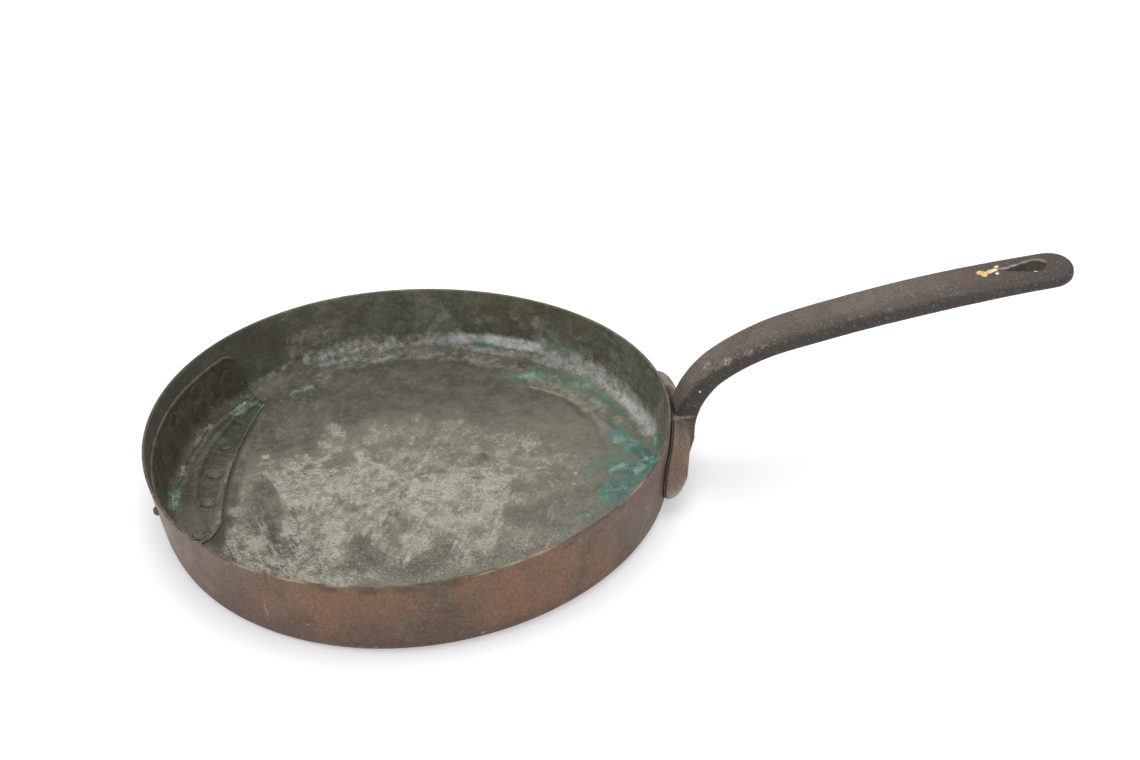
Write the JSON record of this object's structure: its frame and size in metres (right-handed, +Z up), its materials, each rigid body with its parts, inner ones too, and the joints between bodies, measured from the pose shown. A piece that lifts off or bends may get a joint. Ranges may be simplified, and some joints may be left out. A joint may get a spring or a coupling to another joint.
{
  "type": "copper frying pan",
  "caption": "Shallow round copper frying pan with a flat floor, a long riveted cast iron handle with a hanging eye, and a riveted patch inside the wall.",
  "frame": {"origin": "middle of the pan's flat underside, level with the surface it stands on", "axes": "+Z up out of the pan, +X from the pan's middle along the handle, +Y to the left of the handle seen from the pan"},
  "size_m": [0.4743, 0.2686, 0.1115],
  "materials": {
    "aged_copper": null,
    "rivet_copper": "dull brown copper",
    "old_tin": "worn, dull grey tinned copper",
    "cast_iron": "dark, finely grained casting"
  },
  "bodies": {
    "root": {"pan_body": "aged_copper", "handle": "cast_iron", "repair_patch": "old_tin", "handle_rivet_near": "rivet_copper", "handle_rivet_middle": "rivet_copper", "handle_rivet_far": "rivet_copper", "patch_wall_rivet_1": "old_tin", "patch_wall_rivet_2": "old_tin", "patch_wall_rivet_3": "old_tin", "patch_wall_rivet_4": "old_tin", "patch_wall_rivet_5": "old_tin", "patch_wall_rivet_6": "old_tin", "patch_floor_rivet_1": "old_tin", "patch_floor_rivet_2": "old_tin", "patch_floor_rivet_3": "old_tin", "patch_floor_rivet_4": "old_tin", "patch_floor_rivet_5": "old_tin"}
  },
  "joints": []
}
